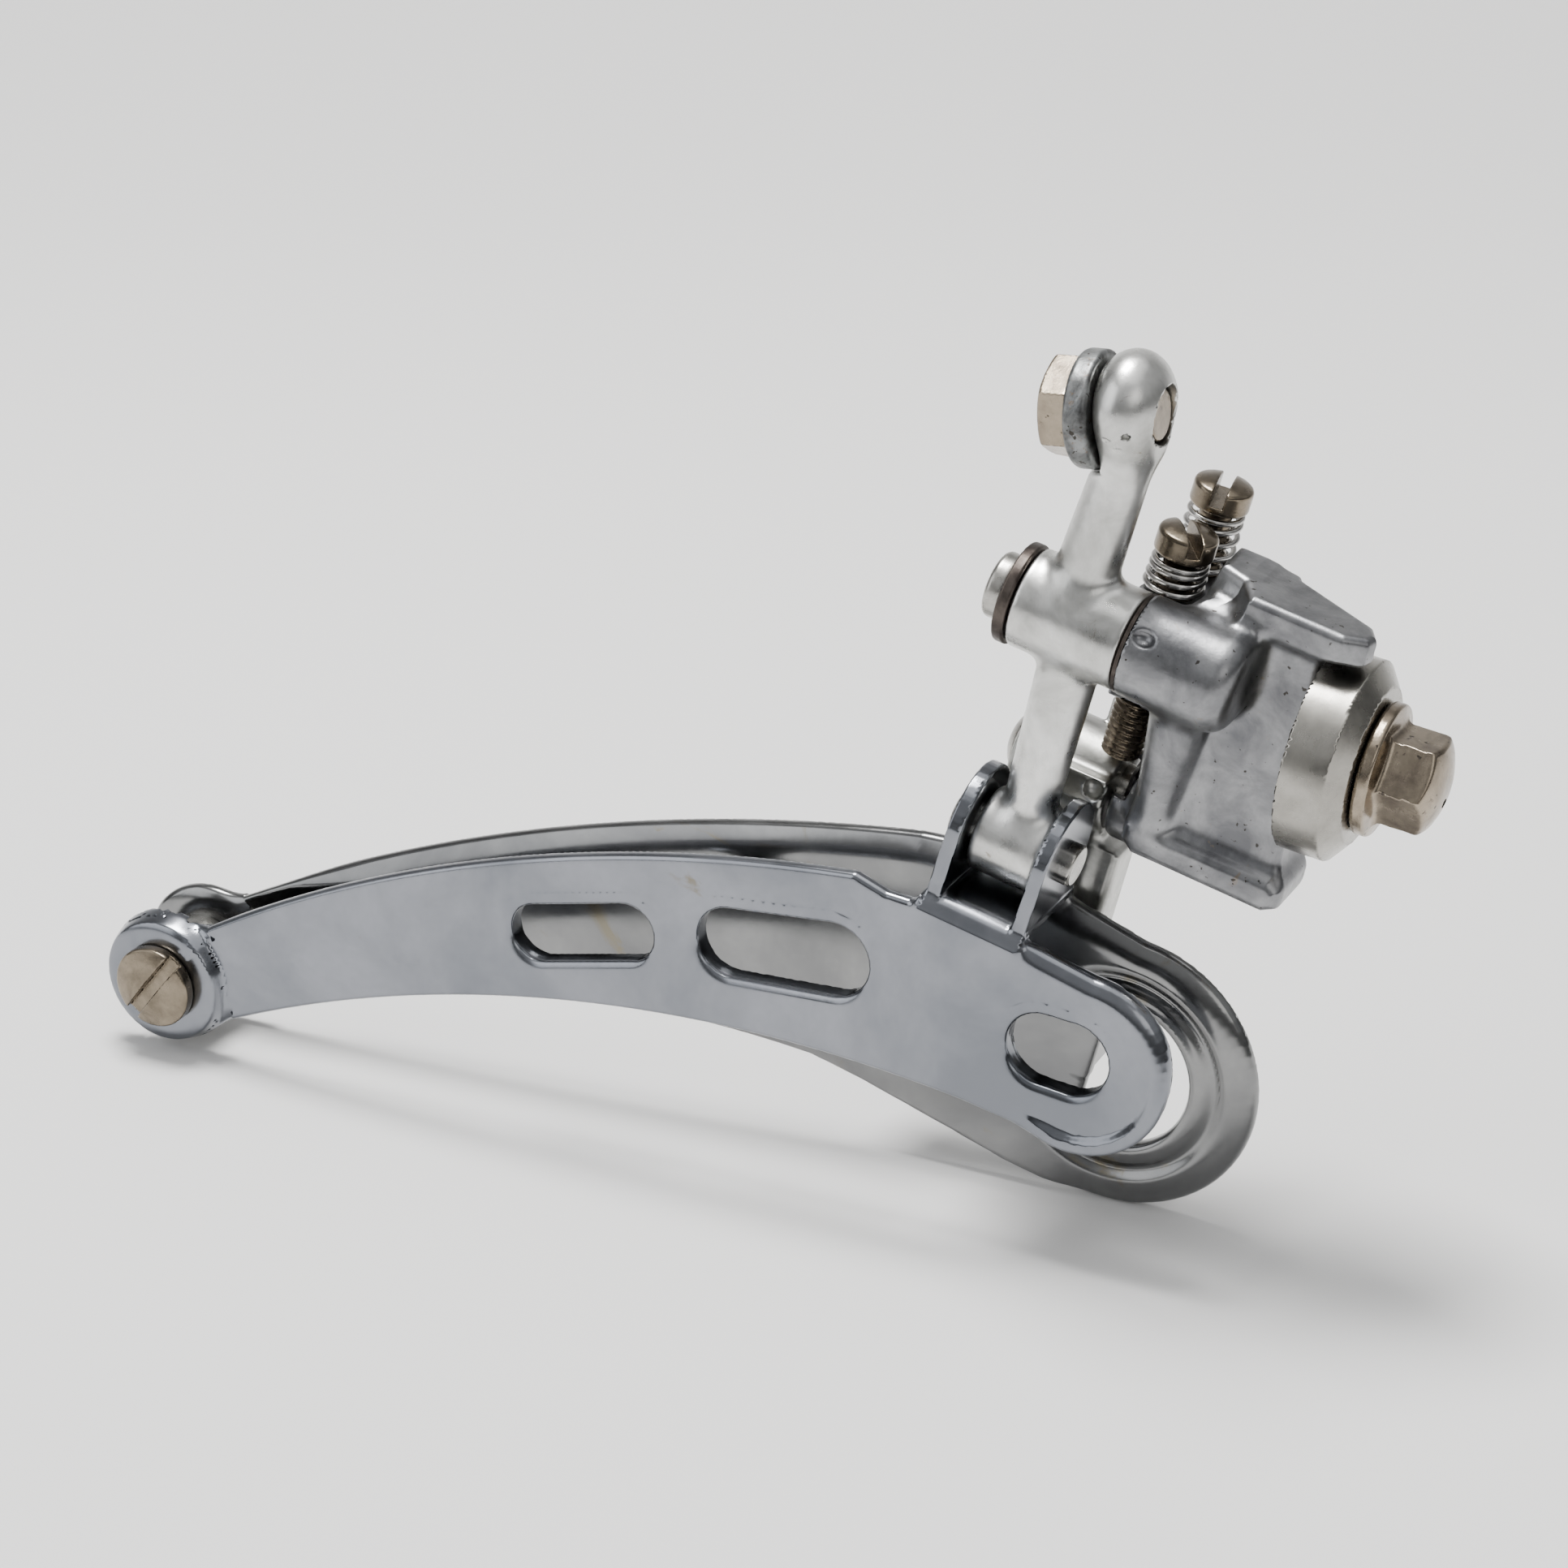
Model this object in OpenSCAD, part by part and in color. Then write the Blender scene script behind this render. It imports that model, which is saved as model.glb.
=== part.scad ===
// Front derailleur for a braze-on mount, with a chromed steel cage and a forged alloy body.
// It is drawn in a pivot frame: +X runs forwards along the pivot pins, +Y runs inboard towards the
// frame tube and +Z runs up along the links at rest, with the outer upper pivot at zero.
// module placed() then tips it to its standing attitude and puts the mount face at the origin.

/* [Stance] */
// Dip of the pivot pins towards the nose when the cage stands on a table, degrees
pivot_dip = 14.5; // [10:0.5:20]
// Rise of the mount bolt from the pivot pins, degrees
mount_rise = 6.5; // [5:0.5:9]
// Rise of the cable bolt from the pivot pins, degrees
cable_rise = 18; // [16:0.5:20]

/* [Linkage] */
// Inboard offset of the outer lower pivot from the outer upper pivot
link_y = 0.6; // [0:0.1:1]
// Drop of each lower pivot below its upper pivot
link_drop = 23.3; // [23.2:0.1:23.6]
// Inboard place of the inner upper pivot
inner_y = 10.6; // [10.5:0.1:10.8]
// Height of the inner upper pivot
inner_z = -19; // [-19.2:0.1:-18.9]
// Radius of the three large pivot barrels
barrel_r = 4.6; // [4.4:0.05:4.6]
// Radius of the outer link's lower barrel
lower_barrel_r = 4.05; // [3.8:0.05:4.1]
// Radius of the outer upper pivot pin
main_pin_r = 2.5; // [2.3:0.1:2.5]
// Radius of the other pivot pins
pin_r = 2; // [1.8:0.1:2]
// Radial running clearance of a turning pin
run_fit = 0.05; // [0.03:0.01:0.08]
// Height of the cable bolt above the outer upper pivot
lever_len = 20.2; // [19.8:0.1:20.6]

/* [Cage] */
// Sheet thickness of the cage
sheet = 1.2; // [1:0.1:1.3]
// Outboard face of the outer plate
outer_face_y = -7; // [-7.2:0.1:-6.8]
// Outboard face of the inner plate at the front
inner_face_y = 5.4; // [5.2:0.1:5.6]
// Outboard face of the inner plate at the tail screw
inner_tail_y = 0.1; // [0:0.1:0.3]
// Radius of the outer plate's nose
outer_nose_r = 8.75; // [8.6:0.05:8.8]
// Radius of the inner plate's nose
inner_nose_r = 13.9; // [13.7:0.1:14]
// Radius of the lobes at the tail screw
lobe_r = 7; // [6.8:0.1:7.2]

/* [Body] */
// Radius of the body's pivot boss
boss_r = 4.7; // [4.6:0.05:4.75]
// Length of the body's pivot boss
boss_len = 10.2; // [9.8:0.1:10.4]
// Top of the body
body_top = 7.7; // [7.4:0.1:8]
// Bottom of the body
body_bottom = -20.5; // [-20.7:0.1:-20.3]

/* [Screws] */
// Radius of the limit screws' shanks
limit_r = 2; // [1.9:0.05:2]
// Length of the limit screws below the head
limit_len = 20.55; // [20.5:0.05:20.6]
// Inboard place of the outboard limit screw
high_screw_y = 7.2; // [7.2:0.05:7.3]
// Inboard place of the inboard limit screw
low_screw_y = 14; // [13.9:0.05:14.1]
// Width across the flats of the hex heads
hex_af = 8; // [7.8:0.1:8.2]
// Radius of the mount washer
washer_r = 9.25; // [9:0.05:9.4]
// Radius of the cable groove in the cable washer
groove_r = 0.65; // [0.6:0.05:0.8]

/* [Hidden] */

// mount face centre in the pivot frame
mount_at = [22.35, 6, -5.4];
// pivot places as [y, z]
outer_top = [0, 0];
outer_low = [link_y, -link_drop];
inner_top = [inner_y, inner_z];
inner_low = inner_top + outer_low;
// the barrels of both links end here, a hair behind the body's rear face
barrel_front = 5.7;
body_rear = 6.15;
// the limit screws stand beside each other in the body's rear block
screw_x = 5.7;
block_top = 2.6;
high_head_z = 6.3;
low_head_z = 8.8;
limit_head_r = 2.75;
limit_head_h = 2.8;
spring_wire_r = 0.32;
groove_y = main_pin_r + groove_r + 0.2;
// ears of the outer clevis, from rear to front
ear_rear_x = -4.3;
ear_front_x = 5.7;
ear_r = 5.6;
ear_mid = [link_y - 0.4, 0.4 - link_drop];
bridge_top = -28.1;
// ears of the inner clevis
inner_ear_rear_x = -11.9;
inner_ear_front_x = 12.2;
inner_ear_r = 4;
// centres of the noses and of the tail screw as [x, z]
outer_nose = [14.2, -37.9];
inner_nose = [14.7, -44.8];
nose_hole_r = 7.3;
tail = [-78.4, -75];
lobe_face_y = -8.3;
bolt_r = 2.5;
hinge_x = -10;
tail_swing = atan((inner_face_y - inner_tail_y) / (hinge_x - tail[0]));
$fn = 64;

// ---------- helpers ----------

// n + 1 points on the circle arc from a through b to c
function arc3(a, b, c, n) =
    let (d = 2 * (a[0] * (b[1] - c[1]) + b[0] * (c[1] - a[1]) + c[0] * (a[1] - b[1])),
         aa = a * a, bb = b * b, cc = c * c,
         m = [(aa * (b[1] - c[1]) + bb * (c[1] - a[1]) + cc * (a[1] - b[1])) / d,
              (aa * (c[0] - b[0]) + bb * (a[0] - c[0]) + cc * (b[0] - a[0])) / d],
         r = norm(a - m),
         s = atan2(a[1] - m[1], a[0] - m[0]),
         turn = d < 0 ? 1 : -1,
         e = atan2(c[1] - m[1], c[0] - m[0]),
         span = turn > 0 ? (s - e + 720) % 360 : (e - s + 720) % 360)
    [for (i = [0:n]) m + r * [cos(s - turn * span * i / n), sin(s - turn * span * i / n)]];

// round bar along X at [y, z]
module bar_x(r, x0, x1, at, fn = 64) {
    translate([x0, at[0], at[1]]) rotate([0, 90, 0]) cylinder(r = r, h = x1 - x0, $fn = fn);
}

// round bar along Y at [x, z]
module bar_y(r, y0, y1, at, fn = 64) {
    translate([at[0], y1, at[1]]) rotate([90, 0, 0]) cylinder(r = r, h = y1 - y0, $fn = fn);
}

// round bar along Z at [x, y]
module bar_z(r, z0, z1, at, fn = 64) {
    translate([at[0], at[1], z0]) cylinder(r = r, h = z1 - z0, $fn = fn);
}

// sheet from an outline in [x, z] that lies between two y values
module sheet_y(points, y0, y1) {
    translate([0, y1, 0]) rotate([90, 0, 0]) linear_extrude(y1 - y0) polygon(points);
}

// sheet from an outline in [y, z] that lies between two x values
module sheet_x(points, x0, x1) {
    translate([x0, 0, 0]) rotate([90, 0, 90]) linear_extrude(x1 - x0) polygon(points);
}

// slot with round ends between two [x, z] centres
module slot_y(a, b, r, y0, y1) {
    d = b - a;
    turn = atan2(d[1], d[0]);
    sheet_y([for (i = [0:31]) let (t = turn - 90 + 360 * (i + 0.5) / 32)
        (i < 16 ? b : a) + r * [cos(t), sin(t)]], y0, y1);
}

// round wire coil about Z that starts at z = 0
module coil(mean_r, wire_r, height, turns, steps = 16, sides = 6) {
    n = round(turns * steps);
    rings = [for (i = [0:n]) let (a = 360 * i / steps, z = height * i / n)
        for (k = [0:sides - 1]) let (b = 360 * k / sides, q = mean_r + wire_r * cos(b))
            [q * cos(a), q * sin(a), z + wire_r * sin(b)]];
    walls = [for (i = [0:n - 1]) for (k = [0:sides - 1]) let (j = (k + 1) % sides)
        [i * sides + k, (i + 1) * sides + k, (i + 1) * sides + j, i * sides + j]];
    caps = [[for (k = [0:sides - 1]) k], [for (k = [sides - 1:-1:0]) n * sides + k]];
    polyhedron(rings, concat(walls, caps));
}

// tips the pivot frame to the standing attitude with the mount face centre at the origin
module placed() {
    rotate([0, pivot_dip, 0]) translate(-mount_at) children();
}

// mount frame: x = 0 on the mount face and +X out along the mount bolt
module on_mount() {
    translate(mount_at) rotate([0, -mount_rise, 0]) children();
}

// cable bolt frame: x = 0 at the middle of the lever's eye
module on_eye() {
    translate([0, 0, lever_len]) rotate([0, -cable_rise, 0]) children();
}

// ---------- body and its mount ----------

module boss() {
    edge = 2.2;
    profile = concat([[0, 0], [boss_r, 0]],
        [for (i = [0:6]) [boss_r - edge + edge * cos(15 * i), boss_len - edge + edge * sin(15 * i)]],
        [[0, boss_len]]);
    translate([body_rear, 0, 0]) rotate([0, 90, 0]) rotate_extrude($fn = 64) polygon(profile);
}

module body() {
    color("#8f9296") placed() difference() {
        union() {
            boss();
            // rounded column from the boss to the foot
            hull() {
                bar_z(2.9, -3, -2, [11.1, 1.6], 32);
                bar_z(1.7, -18.6, -17.6, [11.3, 3.6], 32);
            }
            // main block and its two flanges
            translate([0, 0, body_bottom + 1]) linear_extrude(body_top - body_bottom - 2)
                polygon([[11, 3], [24.6, 3], [24.6, 8.4], [16.4, 9.6], [11, 10.4]]);
            sheet_y([[9.6, body_bottom + 0.6], [10.4, body_bottom], [24.6, body_bottom],
                     [25.3, body_bottom + 0.8], [25.2, body_bottom + 2.9], [9.6, body_bottom + 2.9]],
                    1.8, 9);
            translate([0, 0, body_top - 3.4]) linear_extrude(3.4)
                polygon([[9.8, 10.6], [9.9, 5], [12.2, 4.2], [14.2, 1.6], [23.4, 1.6], [24.9, 2.5],
                         [25.4, 4.2], [24.9, 7], [16.4, 9.4], [13, 10.6]]);
            // neck between the boss and the block
            translate([9, -1.5, -4]) cube([5.6, 6, 8]);
            // rear block of the limit screws
            translate([3.3, 5, -8.5]) cube([9, 12.2, block_top + 8.5]);
            // boss of the inner pivot and the web above it
            bar_x(4.9, body_rear, 16, inner_top);
            translate([8.4, 5.7, -19]) cube([5, 9.8, 12]);
        }
        // mount face, square to the mount bolt, in its channel between the flanges
        on_mount() translate([0, -12, -12.05]) cube([12, 30, 22]);
        // threaded hole of the mount bolt
        on_mount() bar_x(bolt_r, -9, 2, [0, 0]);
        bar_x(main_pin_r, 5, 13.2, outer_top);
        bar_x(pin_r + run_fit, 5, 14.6, inner_top);
        // pocket of the return spring
        bar_x(3.9, 5, 11, inner_top);
        for (y = [high_screw_y, low_screw_y]) {
            bar_z(limit_r + run_fit, -9, 4, [screw_x, y]);
            bar_z(limit_r + 0.4, -18, -8.5, [screw_x, y]);
        }
    }
}

module mount_washer() {
    rim = 4.2;
    thick = 5.8;
    bore = 2.6;
    profile = [[bore, 0], [washer_r, 0], [washer_r, rim], [washer_r - 2.3, thick], [bore, thick]];
    color("#a8a49c") placed() on_mount() rotate([0, 90, 0]) rotate_extrude($fn = 96) polygon(profile);
}

module hex_x(x0, x1) {
    translate([x0, 0, 0]) rotate([0, 90, 0]) cylinder(r = hex_af / sqrt(3), h = x1 - x0, $fn = 6);
}

module mount_bolt() {
    color("#a39a8a") placed() on_mount() {
        bar_x(bolt_r, -8.5, 6.5, [0, 0]);
        bar_x(6.1, 5.8, 7.6, [0, 0]);
        intersection() {
            hex_x(7.4, 12.8);
            translate([7.4, 0, 0]) rotate([0, 90, 0]) cylinder(r1 = 8, r2 = 3.9, h = 5.4, $fn = 64);
        }
    }
}

// ---------- outer link with the cable bolt ----------

module outer_link() {
    low_rear = -2.6;
    low_front = 4.1;
    color("#c9cbc8") placed() difference() {
        union() {
            bar_x(barrel_r, -4.7, barrel_front, outer_top);
            bar_x(lower_barrel_r, low_rear, low_front, outer_low);
            // lower arm
            hull() {
                translate([0.5, 0, -3.4]) cylinder(r = 2.85, h = 1, $fn = 32);
                translate([0.8, link_y, -link_drop + 2]) cylinder(r = 2.35, h = 1, $fn = 32);
            }
            // lever
            hull() {
                translate([-0.3, 0, 3]) cylinder(r = 2.9, h = 1, $fn = 32);
                translate([0.5, 0, lever_len - 4]) cylinder(r = 2.6, h = 1, $fn = 32);
            }
            on_eye() bar_x(4.9, -2.7, 2.9, [0, 0]);
        }
        bar_x(main_pin_r + run_fit, -8, 8, outer_top);
        bar_x(pin_r + run_fit, -8, 8, outer_low);
        on_eye() bar_x(bolt_r, -6, 6, [0, 0]);
        // clear of the cable washer
        on_eye() bar_x(6.2, -9, -2.7, [0, 0]);
    }
}

module cable_bolt() {
    color("#a39a8a") placed() on_eye() {
        hex_x(-7.8, -4.9);
        bar_x(bolt_r, -4.9, 2.3, [0, 0]);
    }
}

module cable_washer() {
    color("#5f6062") placed() on_eye() difference() {
        bar_x(5.2, -4.9, -2.7, [0, 0]);
        bar_x(bolt_r, -6, 0, [0, 0]);
        // groove that the cable lies in, across the face next to the lever
        bar_z(groove_r, -8, 8, [-2.7 - groove_r, groove_y]);
        translate([-2.7 - groove_r, groove_y - groove_r, -8]) cube([1, 2 * groove_r, 16]);
    }
}

module outer_upper_pin() {
    color("#b5b5b2") placed() {
        bar_x(main_pin_r, -6, 13, outer_top);
        bar_x(3.1, -7.9, -6, outer_top);
    }
}

module ring_x(outer, inner, x0, x1, at) {
    difference() {
        bar_x(outer, x0, x1, at);
        bar_x(inner, x0 - 1, x1 + 1, at);
    }
}

module outer_pin_washer() {
    color("#4a423c") placed() ring_x(4.75, main_pin_r, -6, -4.8, outer_top);
}

module outer_thrust_washer() {
    color("#4a423c") placed() ring_x(4.65, main_pin_r, 5.8, body_rear, outer_top);
}

module outer_lower_pin() {
    color("#b5b5b2") placed() {
        bar_x(pin_r, -4.9, 7.1, outer_low);
        bar_x(2.6, -5.4, -4.3, outer_low);
    }
}

// ---------- inner link ----------

module inner_link() {
    wide_rear = -10.4;
    wide_front = 10.7;
    color("#b9bbb9") placed() difference() {
        union() {
            bar_x(barrel_r, -4, 5.9, inner_top);
            bar_x(3.4, wide_rear, wide_front, inner_low);
            // plate between the barrels, wider below
            sheet_x([[inner_y - 2.3, inner_z], [inner_low[0] - 2.6, inner_low[1]],
                     [inner_low[0] + 2.6, inner_low[1]], [inner_y + 2.7, inner_z]], -4, 5.9);
            sheet_x([[inner_y - 2.2, inner_z - 5.4], [inner_low[0] - 2.6, inner_low[1]],
                     [inner_low[0] + 2.6, inner_low[1]], [inner_y + 2.8, inner_z - 5.4]], -7.5, 8.2);
            // outboard stop that meets the high limit screw
            translate([0.5, inner_y - 5.55, inner_z - 0.6]) cube([5.4, 4, 2.88]);
            // inboard stop that rests under the low limit screw
            translate([2.2, inner_y + 1.2, inner_z]) cube([3.7, 4.4, 7.15]);
        }
        bar_x(pin_r, -8, 8, inner_top);
        bar_x(pin_r + run_fit + 0.03, -14, 14, inner_low);
    }
}

module inner_upper_pin() {
    color("#b5b5b2") placed() {
        bar_x(pin_r, -4, 14, inner_top);
        bar_x(3.1, -5.4, -4, inner_top);
    }
}

module inner_lower_pin() {
    color("#b5b5b2") placed() {
        bar_x(pin_r, -12.4, 13.3, inner_low);
        bar_x(2.7, -13, -11.9, inner_low);
    }
}

module return_spring() {
    color("#77777a") placed() translate([6.8, inner_y, inner_z]) rotate([0, 90, 0])
        coil(3, 0.4, 3.7, 4);
}

// ---------- limit screws ----------

module limit_screw(y, head_z) {
    slot_w = 1;
    difference() {
        union() {
            bar_z(limit_r, head_z - limit_len, head_z, [screw_x, y]);
            bar_z(limit_head_r, head_z, head_z + limit_head_h, [screw_x, y]);
        }
        translate([screw_x, y, head_z + limit_head_h - 1.5]) rotate([0, 0, 20])
            translate([-4, -slot_w / 2, 0]) cube([8, slot_w, 3]);
    }
}

module limit_spring(y, head_z) {
    turns = 4.5;
    translate([screw_x, y, block_top + spring_wire_r])
        coil(2.45, spring_wire_r, head_z - block_top - 2 * spring_wire_r, turns);
}

module limit_screw_high() {
    color("#9a8f7e") placed() limit_screw(high_screw_y, high_head_z);
}

module limit_screw_low() {
    color("#9a8f7e") placed() limit_screw(low_screw_y, low_head_z);
}

module limit_spring_high() {
    color("#77777a") placed() limit_spring(high_screw_y, high_head_z);
}

module limit_spring_low() {
    color("#77777a") placed() limit_spring(low_screw_y, low_head_z);
}

// ---------- cage ----------

// drawn wall around a slot of the outer plate, turned inboard
module slot_wall(a, b, r) {
    slot_y(a, b, r + 0.8, outer_face_y + sheet, outer_face_y + sheet + 0.9);
}

slots = [[[-40, -50.5], [-31.3, -46.1], 2.9],
         [[-20.9, -42.1], [-10.9, -38.9], 3.6],
         [[10.4, -38], [13.4, -37.6], 3.6]];

module outer_cage_plate() {
    outline = concat(
        arc3([-75.5, -68.1], [-38.6, -40.9], [-11.3, -29.4], 14),
        [[-7.6, bridge_top - 1.7], [-5.2, bridge_top - 1.4], [-4.3, bridge_top - 0.5],
         [5.7, bridge_top - 0.7]],
        arc3([13, outer_nose[1] + outer_nose_r - 0.05], [outer_nose[0] + outer_nose_r, outer_nose[1]],
             [outer_nose[0], outer_nose[1] - outer_nose_r], 12),
        arc3([10, -46.35], [-24.8, -52.4], [-73.6, -78.6], 16));
    ear = concat([[outer_face_y + 0.8, bridge_top - sheet / 2], [outer_face_y + 0.6, bridge_top + 0.2]],
        arc3([ear_mid[0] - ear_r, ear_mid[1] + 0.4], [ear_mid[0], ear_mid[1] + ear_r],
             [ear_mid[0] + ear_r, ear_mid[1]], 20),
        [[inner_face_y - 0.2, bridge_top - sheet / 2]]);
    color("#b9c0ca") placed() difference() {
        union() {
            sheet_y(outline, outer_face_y, outer_face_y + sheet);
            for (s = slots) slot_wall(s[0], s[1], s[2]);
            bar_y(lobe_r, lobe_face_y, outer_face_y + sheet, tail);
            // bridge to the inner plate, with an ear turned up at each end
            translate([ear_rear_x, outer_face_y, bridge_top - sheet])
                cube([ear_front_x - ear_rear_x, inner_face_y - outer_face_y, sheet]);
            for (x = [ear_rear_x, ear_front_x - 1.4]) sheet_x(ear, x, x + 1.4);
        }
        for (s = slots) slot_y(s[0], s[1], s[2], outer_face_y - 1, outer_face_y + 3);
        bar_x(pin_r, -8, 8, outer_low);
        bar_y(bolt_r, -12, 0, tail);
    }
}

module inner_ear(x) {
    points = concat([[inner_face_y + 0.4, inner_low[1] - inner_ear_r]],
        arc3([inner_low[0], inner_low[1] - inner_ear_r], [inner_low[0] + inner_ear_r, inner_low[1]],
             [inner_low[0], inner_low[1] + inner_ear_r], 16),
        [[inner_face_y + 0.4, inner_low[1] + inner_ear_r]]);
    sheet_x(points, x, x + sheet);
}

module inner_cage_plate() {
    // front part of the plate, ahead of the bend
    front = concat(
        arc3([hinge_x, -30.45], [-4, -29.3], [4, -28.9], 4),
        [[5.7, -30.2]],
        arc3([13.5, inner_nose[1] + inner_nose_r - 0.05], [inner_nose[0] + inner_nose_r, inner_nose[1]],
             [inner_nose[0], inner_nose[1] - inner_nose_r], 18),
        arc3([10.6, -58.6], [0, -58.3], [hinge_x, -57.8], 6));
    // rear part, which swings towards the outer plate
    rear = concat(
        arc3([tail[0] + 1.5, tail[1] + 6.2], [-43.8, -45], [hinge_x, -30.45], 12),
        arc3([hinge_x, -57.8], [-38, -62], [tail[0] + 4.6, tail[1] - 4.6], 12));
    color("#b9c0ca") placed() difference() {
        union() {
            sheet_y(front, inner_face_y, inner_face_y + sheet);
            translate([hinge_x, inner_face_y + sheet, 0]) rotate([0, 0, tail_swing])
                translate([-hinge_x, -inner_face_y - sheet, 0])
                    sheet_y(rear, inner_face_y, inner_face_y + sheet);
            bar_y(lobe_r - 0.1, inner_tail_y, inner_tail_y + 1.6, tail);
            inner_ear(inner_ear_rear_x);
            inner_ear(inner_ear_front_x - sheet);
        }
        // large nose opening, ahead of the front ear
        difference() {
            bar_y(nose_hole_r, 4, 8, inner_nose, 96);
            translate([0, 3, -60]) cube([inner_ear_front_x, 6, 30]);
        }
        // window that the rear ear was turned out of
        translate([inner_ear_rear_x + 1.5, 4, -48]) cube([12, 4, 10.5]);
        bar_x(pin_r, -14, 14, inner_low);
        bar_y(bolt_r, -1, 4, tail);
    }
}

module cage_screw() {
    head_h = 2;
    color("#9a8f7e") placed() difference() {
        union() {
            bar_y(4.2, lobe_face_y - head_h, lobe_face_y, tail);
            bar_y(bolt_r, lobe_face_y, inner_tail_y + 2.3, tail);
        }
        translate([tail[0], lobe_face_y - head_h, tail[1]]) rotate([0, -48, 0])
            translate([-6, -1, -0.45]) cube([12, 2, 0.9]);
    }
}

module cage_spacer() {
    color("#9a9a98") placed() difference() {
        bar_y(4, outer_face_y + sheet, inner_tail_y, tail);
        bar_y(bolt_r, -12, 4, tail);
    }
}

body();
mount_bolt();
mount_washer();
outer_link();
outer_upper_pin();
outer_pin_washer();
outer_thrust_washer();
cable_bolt();
cable_washer();
inner_link();
inner_upper_pin();
return_spring();
limit_screw_high();
limit_screw_low();
limit_spring_high();
limit_spring_low();
outer_cage_plate();
inner_cage_plate();
outer_lower_pin();
inner_lower_pin();
cage_screw();
cage_spacer();
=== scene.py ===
"""Front derailleur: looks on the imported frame. Shapes are distance fields in mm, in the pivot frame."""
import math
import numpy as np
import bpy
from mathutils import Matrix, Vector


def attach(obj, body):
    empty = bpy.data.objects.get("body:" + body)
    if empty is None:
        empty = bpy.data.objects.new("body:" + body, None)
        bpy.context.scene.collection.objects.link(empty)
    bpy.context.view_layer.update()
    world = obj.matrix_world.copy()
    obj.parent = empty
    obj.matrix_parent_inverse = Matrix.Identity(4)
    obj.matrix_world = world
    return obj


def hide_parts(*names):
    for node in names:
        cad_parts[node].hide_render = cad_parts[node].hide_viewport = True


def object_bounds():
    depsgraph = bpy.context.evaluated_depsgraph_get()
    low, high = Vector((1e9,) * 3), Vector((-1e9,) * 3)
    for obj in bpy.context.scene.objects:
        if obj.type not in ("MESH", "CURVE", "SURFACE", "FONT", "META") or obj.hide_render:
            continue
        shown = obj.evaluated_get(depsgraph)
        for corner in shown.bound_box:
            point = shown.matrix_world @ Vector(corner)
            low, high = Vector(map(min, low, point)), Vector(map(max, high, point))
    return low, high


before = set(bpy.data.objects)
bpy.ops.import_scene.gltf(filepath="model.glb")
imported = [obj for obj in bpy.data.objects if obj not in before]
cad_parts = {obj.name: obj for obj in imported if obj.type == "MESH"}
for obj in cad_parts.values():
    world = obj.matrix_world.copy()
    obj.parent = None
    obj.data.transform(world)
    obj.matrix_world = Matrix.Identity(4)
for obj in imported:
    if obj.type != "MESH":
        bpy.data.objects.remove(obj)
cad_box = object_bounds()

# ------------------------------------------------------------------ frame
# The pivot frame has x along the pivot pins, y towards the bicycle and z up; its origin is the lever's pivot.
DIP = math.radians(14.5)  # the pins dip this much in the part's frame
CD, SD = math.cos(DIP), math.sin(DIP)
MOUNT = np.array([22.35, 6.0, -5.4])  # the part's origin, at the mount face
RISE = math.radians(6.5)  # of the mount bolt
CR, SR = math.cos(RISE), math.sin(RISE)
EYE_RISE, EYE_Z = math.radians(18), 20.2  # of the cable bolt, and where it crosses x = 0
CE, SE = math.cos(EYE_RISE), math.sin(EYE_RISE)
# pivot centres, as (y, z): outer upper, outer lower, inner upper, inner lower
A = (0.0, 0.0)
B = (0.6, -23.3)
C = (10.6, -19.0)
D = (11.2, -42.3)
TAIL = (-78.4, -75.0)  # centre of the cage screw, as (x, z)
BARREL_R = 4.6
LOW_PIN_R = 2.0
MAIN_PIN_R = 2.5
HEX_AF = 8.0  # across the flats
SIN60 = 0.8660254
SCREW_X, SCREW_YS = 5.7, (7.2, 14.0)  # the limit screws, high then low


def to_row(p):
    """Points from the pivot frame in mm to the part's frame in m."""
    q = p - MOUNT
    return np.stack([CD * q[:, 0] + SD * q[:, 2], q[:, 1], -SD * q[:, 0] + CD * q[:, 2]], 1) / 1000


def turn_row(n):
    return np.stack([CD * n[:, 0] + SD * n[:, 2], n[:, 1], -SD * n[:, 0] + CD * n[:, 2]], 1)


def mount_local(p):
    q = p - MOUNT
    return np.stack([CR * q[:, 0] + SR * q[:, 2], q[:, 1], -SR * q[:, 0] + CR * q[:, 2]], 1)


def eye_local(p):
    z = p[:, 2] - EYE_Z
    return np.stack([CE * p[:, 0] + SE * z, p[:, 1], -SE * p[:, 0] + CE * z], 1)


# ------------------------------------------------------------------ distance fields
def smin(a, b, k):
    h = np.clip(0.5 + 0.5 * (b - a) / k, 0, 1)
    return b * (1 - h) + a * h - k * h * (1 - h)


def smax(a, b, k):
    return -smin(-a, -b, k)


def cyl_x(p, x0, x1, r, at=(0, 0), rnd=0.3):
    """Cylinder along x with rounded rims."""
    q = np.hypot(p[:, 1] - at[0], p[:, 2] - at[1]) - (r - rnd)
    w = np.abs(p[:, 0] - (x0 + x1) / 2) - ((x1 - x0) / 2 - rnd)
    return np.minimum(np.maximum(q, w), 0) + np.hypot(np.maximum(q, 0), np.maximum(w, 0)) - rnd


def box(p, lo, hi, rnd=0.4):
    lo, hi = np.array(lo, float), np.array(hi, float)
    q = np.abs(p - (lo + hi) / 2) - ((hi - lo) / 2 - rnd)
    return np.linalg.norm(np.maximum(q, 0), axis=1) + np.minimum(q.max(1), 0) - rnd


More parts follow.
